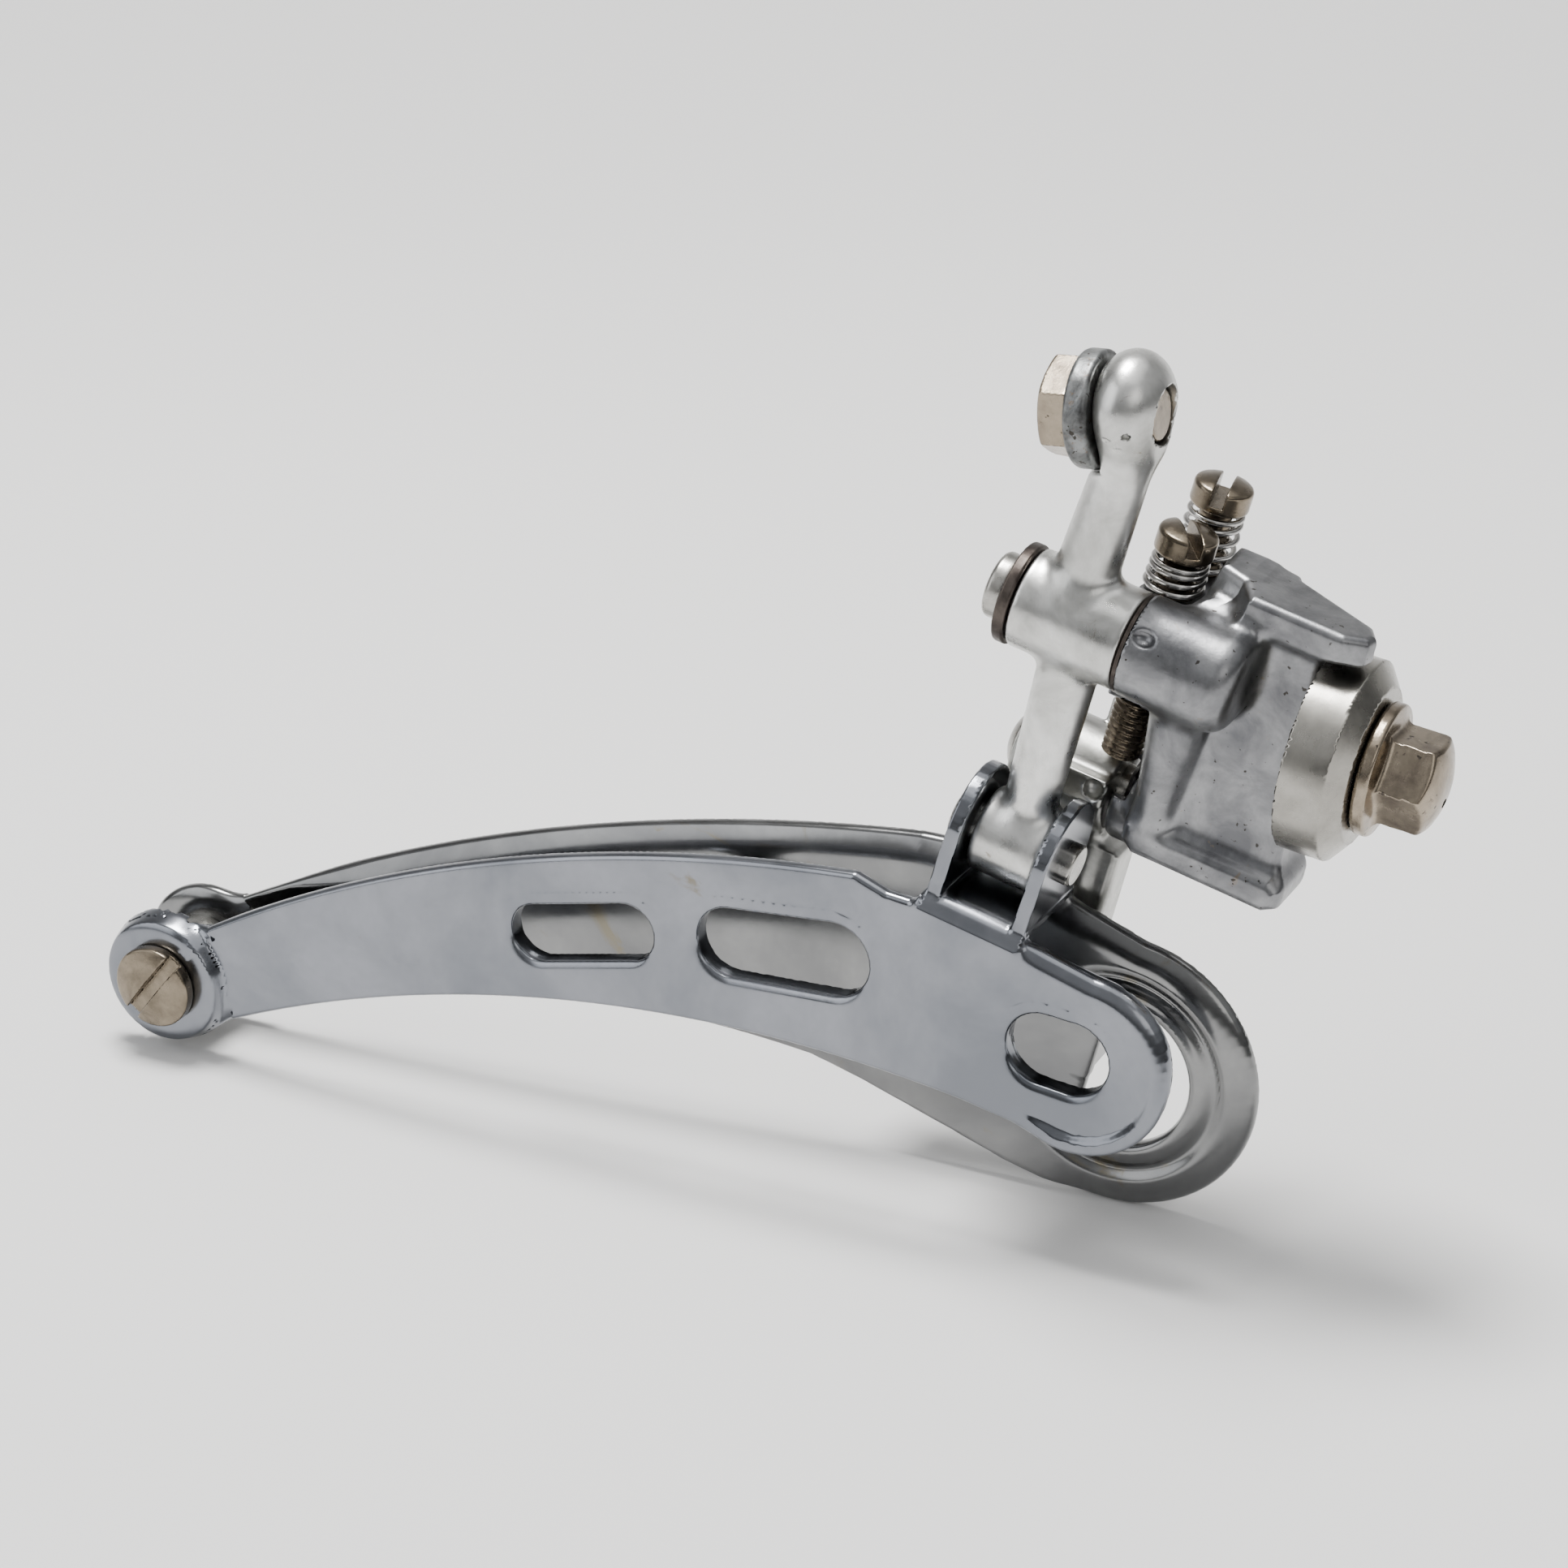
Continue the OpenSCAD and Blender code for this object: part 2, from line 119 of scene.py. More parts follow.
def cone_rod(p, a, b, ra, rb, flat=1.0):
    """Round-ended rod from a to b whose radius changes evenly; flat stretches it along y."""
    a, b = np.array(a, float), np.array(b, float)
    q = p - a
    d = b - a
    t = np.clip(q @ d / (d @ d), 0, 1)
    w = q - t[:, None] * d
    w = w / np.array([1, flat, 1])
    return np.linalg.norm(w, axis=1) - (ra + (rb - ra) * t)


def poly(u, v, pts):
    """Signed distance to a closed polygon, negative inside."""
    pts = np.array(pts, float)
    nxt = np.roll(pts, -1, 0)
    best = np.full(u.shape, 1e9)
    inside = np.zeros(u.shape, bool)
    for (ax, ay), (bx, by) in zip(pts, nxt):
        ex, ey = bx - ax, by - ay
        wx, wy = u - ax, v - ay
        t = np.clip((wx * ex + wy * ey) / (ex * ex + ey * ey + 1e-12), 0, 1)
        best = np.minimum(best, (wx - t * ex) ** 2 + (wy - t * ey) ** 2)
        if ay != by:
            c = ((ay > v) != (by > v)) & (u < (bx - ax) * (v - ay) / (by - ay) + ax)
            inside ^= c
    return np.where(inside, -1, 1) * np.sqrt(best)


def prism(d2, w, w0, w1, rnd=0.4):
    """Extrudes a 2-D distance between two values of w, with rounded rims."""
    a = d2 + rnd
    b = np.abs(w - (w0 + w1) / 2) - (abs(w1 - w0) / 2 - rnd)
    return np.minimum(np.maximum(a, b), 0) + np.hypot(np.maximum(a, 0), np.maximum(b, 0)) - rnd


def arc3(a, b, c, n):
    (ax, ay), (bx, by), (cx, cy) = a, b, c
    d = 2 * (ax * (by - cy) + bx * (cy - ay) + cx * (ay - by))
    aa, bb, cc = ax * ax + ay * ay, bx * bx + by * by, cx * cx + cy * cy
    mx = (aa * (by - cy) + bb * (cy - ay) + cc * (ay - by)) / d
    my = (aa * (cx - bx) + bb * (ax - cx) + cc * (bx - ax)) / d
    r = math.hypot(ax - mx, ay - my)
    s, e = math.atan2(ay - my, ax - mx), math.atan2(cy - my, cx - mx)
    tau = 2 * math.pi
    span = (s - e) % tau if d < 0 else -((e - s) % tau)
    return [(mx + r * math.cos(s - span * i / n), my + r * math.sin(s - span * i / n)) for i in range(n + 1)]


class Field2:
    """A 2-D field sampled on a fine grid and read back bilinearly."""

    def __init__(self, fn, lo, hi, h=0.15):
        self.lo, self.h = np.array(lo, float), h
        n = [int(math.ceil((hi[i] - lo[i]) / h)) + 1 for i in (0, 1)]
        u, v = np.meshgrid(lo[0] + h * np.arange(n[0]), lo[1] + h * np.arange(n[1]), indexing="ij")
        self.val = fn(u.ravel(), v.ravel()).reshape(u.shape)

    def __call__(self, u, v):
        a = (u - self.lo[0]) / self.h
        b = (v - self.lo[1]) / self.h
        m, n = self.val.shape
        a = np.clip(a, 0, m - 1.001)
        b = np.clip(b, 0, n - 1.001)
        i, j = a.astype(int), b.astype(int)
        a, b = a - i, b - j
        g = self.val
        low_row = g[i, j] * (1 - a) + g[i + 1, j] * a
        high_row = g[i, j + 1] * (1 - a) + g[i + 1, j + 1] * a
        return low_row * (1 - b) + high_row * b


# ------------------------------------------------------------------ meshing
def chunked(f, p, n=400000):
    return np.concatenate([f(p[i:i + n]) for i in range(0, len(p), n)])


def nets(f, lo, hi, h):
    """Surface nets: a quad mesh of the field's zero, one vertex in each cell it crosses."""
    lo = np.array(lo, float)
    n = np.ceil((np.array(hi, float) - lo) / h).astype(int) + 1
    ax = [lo[i] + h * np.arange(n[i]) for i in range(3)]
    grid = np.stack(np.meshgrid(*ax, indexing="ij"), -1).reshape(-1, 3)
    val = chunked(f, grid).reshape(n)
    ins = val < 0
    m = n - 1
    count = np.zeros(m, int)
    for i in (0, 1):
        for j in (0, 1):
            for k in (0, 1):
                count += ins[i:i + m[0], j:j + m[1], k:k + m[2]]
    active = (count > 0) & (count < 8)
    ids = np.full(m, -1)
    cells = np.argwhere(active)
    ids[active] = np.arange(len(cells))
    total = np.zeros((len(cells), 3))
    hits = np.zeros(len(cells))
    corner = {}
    for i in (0, 1):
        for j in (0, 1):
            for k in (0, 1):
                corner[i, j, k] = val[cells[:, 0] + i, cells[:, 1] + j, cells[:, 2] + k]
    for d in range(3):
        o = [x for x in range(3) if x != d]
        for s in (0, 1):
            for t in (0, 1):
                c0 = [0, 0, 0]
                c0[o[0]], c0[o[1]] = s, t
                c1 = list(c0)
                c1[d] = 1
                va, vb = corner[tuple(c0)], corner[tuple(c1)]
                cut = (va < 0) != (vb < 0)
                w = np.where(cut, va / np.where(cut, va - vb, 1), 0)
                pt = np.tile(np.array(c0, float), (len(cells), 1))
                pt[:, d] = w
                total += np.where(cut[:, None], pt, 0)
                hits += cut
    p = lo + h * (cells + total / hits[:, None])
    p, g = settle(f, p, h)
    faces = []
    for d in range(3):
        o = [x for x in range(3) if x != d]
        a = [slice(None)] * 3
        b = [slice(None)] * 3
        a[d], b[d] = slice(0, n[d] - 1), slice(1, n[d])
        for x in o:
            a[x] = b[x] = slice(1, n[x] - 1)
        va, vb = ins[tuple(a)], ins[tuple(b)]
        idx = np.argwhere(va != vb)
        flip = va[va != vb]
        idx[:, o[0]] += 1
        idx[:, o[1]] += 1
        q = []
        for s, t in ((0, 0), (1, 0), (1, 1), (0, 1)):
            c = idx.copy()
            c[:, o[0]] -= 1 - s
            c[:, o[1]] -= 1 - t
            q.append(ids[c[:, 0], c[:, 1], c[:, 2]])
        q = np.stack(q, 1)
        if d == 1:
            flip = ~flip
        q[~flip] = q[~flip][:, ::-1]
        faces.append(q)
    return p, np.concatenate(faces), g


def slope(f, p, e=0.02):
    g = np.zeros_like(p)
    for i in range(3):
        s = np.zeros(3)
        s[i] = e
        g[:, i] = (chunked(f, p + s) - chunked(f, p - s)) / (2 * e)
    return g


def settle(f, p, h):
    """Moves points onto the field's zero, and gives the slope there."""
    start = p.copy()
    for _ in range(4):
        g = slope(f, p)
        v = chunked(f, p)
        step = (v / np.maximum((g * g).sum(1), 0.2))[:, None] * g
        size = np.linalg.norm(step, axis=1)
        step *= np.minimum(1, 0.4 * h / np.maximum(size, 1e-9))[:, None]
        p = p - step
        away = p - start
        far = np.linalg.norm(away, axis=1)
        p = start + away * np.minimum(1, 0.9 * h / np.maximum(far, 1e-9))[:, None]
    return p, slope(f, p)


def make(name, p, faces, normals=None, local=False):
    """A mesh object from points in mm in the pivot frame."""
    me = bpy.data.meshes.new(name)
    q = p if local else to_row(p)
    faces = np.asarray(faces)
    me.vertices.add(len(q))
    me.vertices.foreach_set("co", q.astype(np.float32).ravel())
    k = faces.shape[1]
    me.loops.add(faces.size)
    me.loops.foreach_set("vertex_index", faces.ravel().astype(np.int32))
    me.polygons.add(len(faces))
    me.polygons.foreach_set("loop_start", (np.arange(len(faces)) * k).astype(np.int32))
    me.update(calc_edges=True)
    me.validate()
    me.polygons.foreach_set("use_smooth", np.ones(len(me.polygons), bool))
    if normals is not None:
        m = turn_row(normals)
        m /= np.maximum(np.linalg.norm(m, axis=1), 1e-9)[:, None]
        if len(me.vertices) == len(m):
            me.normals_split_custom_set_from_vertices(m.tolist())
    ob = bpy.data.objects.new(name, me)
    bpy.context.scene.collection.objects.link(ob)
    return ob


def solid(name, f, lo, hi, h, body, nodes, mat):
    """Meshes a field in a box at cell size h, and hangs the piece on its body."""
    p, q, g = nets(f, lo, hi, h)
    ob = make(name, p, q, g)
    ob.data.materials.append(mat)
    if nodes:
        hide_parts(*nodes)
    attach(ob, body)
    return ob


def sweep(name, path, r, sides, body, nodes, mat):
    """Round wire along a path of points, closed with caps."""
    path = np.array(path, float)
    t = np.gradient(path, axis=0)
    t /= np.linalg.norm(t, axis=1)[:, None]
    ref = np.array([0.0, 0.0, 1.0])
    u = np.cross(t, ref)
    u /= np.linalg.norm(u, axis=1)[:, None]
    v = np.cross(t, u)
    n = len(path)
    pts, nor = [], []
    for k in range(sides):
        a = 2 * math.pi * k / sides
        d = u * math.cos(a) + v * math.sin(a)
        pts.append(path + r * d)
        nor.append(d)
    p = np.stack(pts, 1).reshape(-1, 3)
    g = np.stack(nor, 1).reshape(-1, 3)
    faces = []
    for i in range(n - 1):
        for k in range(sides):
            k1 = (k + 1) % sides
            faces.append((i * sides + k, i * sides + k1, (i + 1) * sides + k1, (i + 1) * sides + k))
    base = len(p)
    p = np.concatenate([p, path[:1], path[-1:]])
    g = np.concatenate([g, -t[:1], t[-1:]])
    for k in range(0, sides, 2):
        k1, k2 = (k + 1) % sides, (k + 2) % sides
        faces.append((base, k2, k1, k))
        e = (n - 1) * sides
        faces.append((base + 1, e + k, e + k1, e + k2))
    ob = make(name, p, faces, g)
    ob.data.materials.append(mat)
    if nodes:
        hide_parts(*nodes)
    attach(ob, body)
    return ob


# ------------------------------------------------------------------ materials
class Mat:
    """Small helper round a node tree."""

    def __init__(self, name):
        self.m = bpy.data.materials.new(name)
        self.m.use_nodes = True
        self.t = self.m.node_tree
        self.b = self.t.nodes["Principled BSDF"]
        self.at = self.t.nodes.new("ShaderNodeTexCoord")

    def put(self, key, val):
        self.b.inputs[key].default_value = val

    def link(self, a, b):
        self.t.links.new(a, b)

    def noise(self, scale, detail=4, rough=0.55, stretch=(1, 1, 1), turn=(0, 0, 0), distort=0.0):
        mp = self.t.nodes.new("ShaderNodeMapping")
        mp.inputs["Scale"].default_value = [scale * 1000 * s for s in stretch]
        mp.inputs["Rotation"].default_value = turn
        self.link(self.at.outputs["Object"], mp.inputs["Vector"])
        n = self.t.nodes.new("ShaderNodeTexNoise")
        n.inputs["Scale"].default_value = 1
        n.inputs["Detail"].default_value = detail
        n.inputs["Roughness"].default_value = rough
        n.inputs["Distortion"].default_value = distort
        self.link(mp.outputs["Vector"], n.inputs["Vector"])
        return n.outputs["Fac"]

    def ramp(self, fac, stops):
        r = self.t.nodes.new("ShaderNodeValToRGB")
        e = r.color_ramp.elements
        while len(e) < len(stops):
            e.new(0.5)
        for i, (pos, col) in enumerate(stops):
            e[i].position = pos
            c = col if isinstance(col, (tuple, list)) else (col, col, col)
            e[i].color = (*c[:3], 1)
        self.link(fac, r.inputs["Fac"])
        return r.outputs["Color"]

    def mix(self, fac, a, b, mode="MIX"):
        x = self.t.nodes.new("ShaderNodeMix")
        x.data_type = "RGBA"
        x.blend_type = mode
        for key, v in ((0, fac), (6, a), (7, b)):
            if isinstance(v, (int, float)):
                x.inputs[key].default_value = v
            elif isinstance(v, (tuple, list)):
                x.inputs[key].default_value = (*v[:3], 1)
            else:
                self.link(v, x.inputs[key])
        return x.outputs[2]

    def math(self, op, a, b):
        x = self.t.nodes.new("ShaderNodeMath")
        x.operation = op
        for i, v in enumerate((a, b)):
            if isinstance(v, (int, float)):
                x.inputs[i].default_value = v
            else:
                self.link(v, x.inputs[i])
        return x.outputs[0]

    def bump(self, height, dist, strength=1.0, under=None):
        x = self.t.nodes.new("ShaderNodeBump")
        x.inputs["Distance"].default_value = dist / 1000
        x.inputs["Strength"].default_value = strength
        self.link(height, x.inputs["Height"])
        if under is not None:
            self.link(under, x.inputs["Normal"])
        self.link(x.outputs["Normal"], self.b.inputs["Normal"])
        return x.outputs["Normal"]


def metal(name, col, dark, rough=(0.25, 0.4), spots=None, spot_at=0.68, blotch=0.25, grain=2.0,
          bump=0.02, stretch=(1, 1, 1), fine=1.0, pits=0.0):
    m = Mat(name)
    m.put("Metallic", 1.0)
    big = m.noise(blotch, 5, 0.6, distort=0.4)
    c = m.ramp(big, [(0.32, dark), (0.62, col)])
    small = m.noise(grain, 3, 0.6, stretch)
    c = m.mix(m.ramp(small, [(0.3, 0.0), (0.8, 0.22)]), c, dark)
    if spots:
        s = m.noise(blotch * 2.3, 6, 0.65, distort=0.8)
        c = m.mix(m.ramp(s, [(spot_at, 0.0), (spot_at + 0.07, 0.85)]), c, spots)
    if pits:
        s = m.noise(1.3, 2, 0.5)
        pit_at = [(0.70 - pits * 0.1, 0.0), (0.74 - pits * 0.1, 0.9)]
        c = m.mix(m.ramp(s, pit_at), c, (0.04, 0.035, 0.03))
    m.link(c, m.b.inputs["Base Color"])
    r = m.noise(blotch * 1.7, 4, 0.6)
    m.link(m.ramp(r, [(0.3, rough[0]), (0.7, rough[1])]), m.b.inputs["Roughness"])
    low = m.bump(m.noise(0.35, 3, 0.5), bump * 2.2, 0.6)
    m.bump(m.noise(grain * fine * 2, 3, 0.7, stretch), bump * 0.5, 0.5, low)
    return m.m


CHROME = metal("chrome_cage", (0.255, 0.265, 0.29), (0.165, 0.175, 0.195), (0.13, 0.27),
               (0.18, 0.16, 0.12), 0.70, 0.06, 1.2, 0.006)
CHROME2 = metal("chrome_inner", (0.25, 0.252, 0.25), (0.15, 0.152, 0.155), (0.13, 0.27),
                (0.19, 0.17, 0.125), 0.60, 0.05, 1.2, 0.006)
LINK = metal("satin_alloy", (0.76, 0.76, 0.74), (0.42, 0.42, 0.40), (0.24, 0.38),
             (0.27, 0.24, 0.20), 0.64, 0.16, 1.6, 0.03, (1, 1, 0.3))
BODY = metal("forged_alloy", (0.29, 0.293, 0.30), (0.13, 0.132, 0.14), (0.27, 0.40),
             (0.22, 0.18, 0.14), 0.66, 0.22, 2.0, 0.045, pits=0.05)
INNER = metal("inner_alloy", (0.54, 0.54, 0.515), (0.28, 0.28, 0.265), (0.27, 0.40),
              (0.33, 0.29, 0.23), 0.66, 0.25, 1.6, 0.03)
NICKEL = metal("worn_nickel", (0.35, 0.295, 0.225), (0.17, 0.14, 0.11), (0.16, 0.32),
               (0.10, 0.075, 0.06), 0.64, 0.35, 2.2, 0.03, pits=0.3)
TURNED = metal("turned_steel", (0.40, 0.385, 0.35), (0.27, 0.26, 0.235), (0.22, 0.32),
               (0.22, 0.195, 0.16), 0.74, 0.2, 3.0, 0.012, (1, 0.15, 0.15))
ZINC = metal("rough_zinc", (0.25, 0.26, 0.26), (0.08, 0.08, 0.08), (0.30, 0.48),
             (0.16, 0.11, 0.07), 0.6, 0.6, 1.2, 0.10, pits=0.3)
DARK = metal("stained_washer", (0.10, 0.085, 0.075), (0.04, 0.033, 0.03), (0.34, 0.5), None,
             0.7, 0.5, 2.0, 0.03)
STEEL = metal("bright_pin", (0.46, 0.45, 0.42), (0.27, 0.26, 0.24), (0.20, 0.34),
              (0.25, 0.21, 0.17), 0.68, 0.3, 2.0, 0.02)
BRONZE = metal("tinted_screw", (0.24, 0.20, 0.15), (0.11, 0.092, 0.068), (0.20, 0.32),
               (0.14, 0.11, 0.09), 0.7, 0.3, 2.0, 0.02)
SPRING = metal("spring_wire", (0.58, 0.57, 0.55), (0.30, 0.29, 0.28), (0.14, 0.28),
               (0.10, 0.08, 0.06), 0.66, 0.5, 2.0, 0.01)

# ------------------------------------------------------------------ body
BLOCK = [(3.3, -8.5), (3.3, 2.6), (13.5, 2.6), (13.5, -8.5)]
RIB = [(8.6, 0.5), (8.8, 2.4), (11.0, 6.4), (12.4, 7.3), (13.5, 7.3), (13.5, 0.5)]
TOPF = [(9.5, 10.9), (9.7, 5.6), (12.3, 4.5), (14, 1.5), (23, 1.5), (25, 2.8), (25.3, 4.2),
        (24.3, 6), (16.4, 9.2), (16, 9.9), (11.7, 10.9)]
WEB = [(9.9, 10.4), (9.9, 3.2), (24.2, 3.2), (24.2, 9.1), (16.4, 9.9), (11.8, 10.4)]
BOTF = [(9.6, -17.9), (9.6, -19.4), (10.6, -20.5), (23.5, -20.5), (24.6, -19.7), (24.4, -18.3), (23.4, -17.7)]


def f_body(p):
    x, y, z = p.T
    boss = cyl_x(p, 1, 16.35, 4.7, A, 2.1)
    col = cone_rod(p, (11.1, 1.5, -2), (11.25, 3.6, -18.2), 2.9, 1.7)
    web = prism(poly(x, y, WEB), z, -19.6, 4.8, 0.8)
    top = prism(poly(x, y, TOPF), z, 4.7, 7.7, 0.8)
    bot = prism(poly(x, z, BOTF), y, 1.8, 9.2, 0.7)
    d = smin(web, top, 2.5)
    d = smin(d, bot, 2.2)
    rear = prism(poly(x, z, BLOCK), y, 5.0, 17.2, 0.7)
    d = smin(d, rear, 1.2)
    d = smin(d, prism(poly(x, z, RIB), y, 5.4, 10.6, 0.8), 1.0)
    d = smin(d, col, 1.3)
    neck = box(p, (8.6, -1, -3.8), (15, 5, 3.8), 1.0)
    d = smin(d, smin(boss, neck, 1.0), 2.2)
    low = smin(cyl_x(p, 6.2, 16, 4.9, C, 0.8), box(p, (8.4, 5.7, -19), (13.4, 15.5, -7), 0.8), 1.2)
    d = smin(d, low, 1.2)
    # oval dimple of the staked pin
    dim = np.sqrt(((x - 7.5) / 1.1) ** 2 + ((y + 4.15) / 0.95) ** 2 + ((z - 2.8) / 0.85) ** 2) - 1
    d = smax(d, -dim * 0.9, 0.25)
    # rear face and mount face
    d = smax(d, np.where((y * y + z * z) < 5.3 ** 2, 6.15 - x, -9), 0.12)
    q = mount_local(p)
    d = smax(d, -box(q, (0, -14, -12.05), (14, 20, 9.95), 1.8), 0.8)
    # clear of the outer link's barrel, the inner link and the limit screws
    d = np.maximum(d, -cyl_x(p, -9, 5.95, 4.9, A, 0.05))
    d = np.maximum(d, -cyl_x(p, 4, 11, 3.9, C, 0.05))
    for sy in SCREW_YS:
        r = np.hypot(x - SCREW_X, y - sy)
        d = np.maximum(d, -np.maximum(r - np.where(z > -8.5, 2.06, 2.4), np.abs(z + 7) - 11))
    return d


solid("body_casting", f_body, (2.6, -6, -25), (27, 18.2, 9), 0.27, "body", ["body"], BODY)


def f_washer(p):
    q = mount_local(p)
    r = np.hypot(q[:, 1], q[:, 2])
    return poly(q[:, 0], r, [(0.02, 2.6), (0.02, 9.25), (4.2, 9.25), (5.7, 7.2), (5.8, 2.6)])


solid("mount_washer_ring", f_washer, (18, -4, -17), (32, 16, 8), 0.28, "body", ["mount_washer"], TURNED)


def hexa(u, v):
    """Distance to a hexagon of the bolts' width across flats, with two flats square to v."""
    a, b = np.abs(u), np.abs(v)
    return np.maximum(b, a * SIN60 + b * 0.5) - HEX_AF / 2


def f_mbolt(p):
    q = mount_local(p)
    x = q[:, 0]
    r = np.hypot(q[:, 1], q[:, 2])
    hx = smax(hexa(q[:, 1], q[:, 2]), np.abs(x - 9.5) - 3.3, 0.25)
    dome = np.hypot(x - 3.9, r) - 8.85
    hx = smax(hx, dome, 0.3)
    fl = cyl_x(q, 5.82, 7.7, 6.1, A, 0.45)
    fl = smax(fl, (x - 7.5) + (r - 4.4) * 0.22, 0.3)
    d = smin(hx, fl, 0.7)
    return np.minimum(d, cyl_x(q, -8, 6.4, 2.5, A, 0.1))


solid("mount_bolt_hex", f_mbolt, (12, -1, -14), (35, 13, 4), 0.24, "body", ["mount_bolt"], NICKEL)


# ------------------------------------------------------------------ outer link
def f_link(p):
    x, y, z = p.T
    d = cyl_x(p, -4.7, 5.7, BARREL_R, A, 0.4)
    lever = cone_rod(p, (-0.35, 0, 1.5), (0.35, 0, 17), 2.95, 2.5)
    arm = cone_rod(p, (0.7, 0, -1), (0.85, 0.55, -21), 2.9, 2.4)
    low = cyl_x(p, -2.6, 4.1, 4.05, B, 0.6)
    d = smin(d, lever, 1.4)
    d = smin(d, arm, 1.4)
    d = smin(d, low, 1.5)
    q = eye_local(p)
    ex, ez = 0.98 * (x + 0.5) + 0.2 * (z - 20.7), 0.98 * (z - 20.7) - 0.2 * (x + 0.5)
    e = (np.sqrt((ex / 3.65) ** 2 + (y / 4.9) ** 2 + (ez / 4.9) ** 2) - 1) * 3.7
    d = smin(d, e, 2.2)
    # spot face under the cable washer and the mouth of its hole
    qr = np.hypot(q[:, 1], q[:, 2])
    d = smax(d, -np.maximum(qr - 5.3, q[:, 0] + 2.7), 0.5)
    d = smax(d, -np.maximum(qr - 2.65, 0.6 - q[:, 0]) + np.where(z > 10, 0, -99), 0.1)
    # worn dings at the eye
    for cx, cy, cz, r in ((0.6, -4.5, 18.0, 0.55), (-0.6, -4.7, 18.6, 0.45), (1.2, -4.5, 16.8, 0.4),
                          (-0.2, -4.4, 17.2, 0.4), (0.9, -4.2, 19.6, 0.4)):
        d = smax(d, -(np.sqrt((x - cx) ** 2 + (y - cy) ** 2 + ((z - cz) * 1.6) ** 2) - r), 0.15)
    return d


solid("outer_link_casting", f_link, (-7, -6, -28.5), (7, 6.2, 27), 0.25, "outer_link", ["outer_link"], LINK)


def f_cbolt(p):
    q = eye_local(p)
    x = q[:, 0]
    r = np.hypot(q[:, 1], q[:, 2])
    hx = smax(hexa(q[:, 2], q[:, 1]), np.abs(x + 6.25) - 1.4, 0.22)
    hx = smax(hx, (-x - 7.65) + (r - 3.9) * 0.5, 0.2)
    tip = cyl_x(q, -5, 2.3, 2.35, A, 0.3)
    return np.minimum(hx, tip)


solid("cable_bolt_hex", f_cbolt, (-11, -6, 14), (4, 6, 27), 0.2, "outer_link", ["cable_bolt"], NICKEL)


def f_cwash(p):
    q = eye_local(p)
    d = cyl_x(q, -4.9, -2.72, 5.2, A, 0.5)
    # groove for the cable, round at the bottom
    groove_y, groove_x, groove_r = 3.35, -3.35, 0.62
    g = np.hypot(q[:, 0] - groove_x, q[:, 1] - groove_y) - groove_r
    g = np.minimum(g, np.maximum(np.abs(q[:, 1] - groove_y) - groove_r, groove_x - q[:, 0]))
    return smax(d, -g, 0.12)


solid("cable_washer_disc", f_cwash, (-8, -6.3, 13.5), (0, 6.3, 27), 0.22, "outer_link",
      ["cable_washer"], ZINC)


def f_main_pin(p):
    return smin(cyl_x(p, -7.9, -6.02, 3.1, A, 0.55), cyl_x(p, -6.6, 13, MAIN_PIN_R, A, 0.1), 0.1)


def f_main_washer(p):
    return smax(cyl_x(p, -5.98, -4.82, 4.72, A, 0.25), 2.52 - np.hypot(p[:, 1], p[:, 2]), 0.1)


solid("pivot_pin_head", f_main_pin, (-8.6, -3.8, -3.8), (13.8, 3.8, 3.8), 0.22, "body",
      ["outer_upper_pin"], STEEL)
solid("pivot_washer", f_main_washer, (-6.6, -5.4, -5.4), (-4.2, 5.4, 5.4), 0.2, "body",
      ["outer_pin_washer"], DARK)


# ------------------------------------------------------------------ inner link
def f_inner(p):
    x, y, z = p.T
    d = cyl_x(p, -4, 5.9, BARREL_R, C, 0.4)
    up = prism(poly(y, z, [(8.3, -19), (8.6, -42.3), (13.8, -42.3), (13.3, -19)]), x, -4, 5.9, 0.7)
    lo = prism(poly(y, z, [(8.4, -25.0), (8.6, -42.3), (13.8, -42.3), (13.4, -25.0)]), x, -7.5, 8.2, 0.8)
    bar = cyl_x(p, -10.4, 10.7, 3.4, D, 0.5)
    d = smin(smin(d, up, 0.9), smin(lo, bar, 1.0), 1.2)
    d = smax(d, np.where(z > -27, 0, -9) + np.where((x > 5.9), 4.95 - np.hypot(y - C[0], z - C[1]), -9), 0.2)
    s1 = box(p, (0.5, 5.07, -19.6), (5.9, 9.0, -16.75), 0.25)
    s2 = box(p, (2.2, 11.8, -19), (5.9, 16.2, -11.9), 0.35)
    d = smin(smin(d, s1, 0.5), s2, 0.6)
    dim = np.sqrt((x - 4.8) ** 2 + (y - 5.1) ** 2 + (z + 17.9) ** 2) - 1.0
    return smax(d, -dim, 0.12)


def f_inner_pin(p):
    head = cyl_x(p, -5.4, -4.02, 3.1, C, 0.4)
    dome = np.linalg.norm(p - np.array([-1.2, C[0], C[1]]), axis=1) - 4.4
    return smin(smax(head, dome, 0.2), cyl_x(p, -4.2, 14, LOW_PIN_R, C, 0.1), 0.1)


def f_inner_low_pin(p):
    return np.minimum(cyl_x(p, -12.4, 13.3, LOW_PIN_R, D, 0.3), cyl_x(p, -13.0, -11.9, 2.7, D, 0.4))


def f_outer_low_pin(p):
    head = smin(cyl_x(p, -5.4, -4.3, 2.6, B, 0.4), cyl_x(p, 5.0, 6.8, LOW_PIN_R, B, 0.28), 0.05)
    return smin(cyl_x(p, -4.9, 6.8, LOW_PIN_R, B, 0.28), head, 0.1)


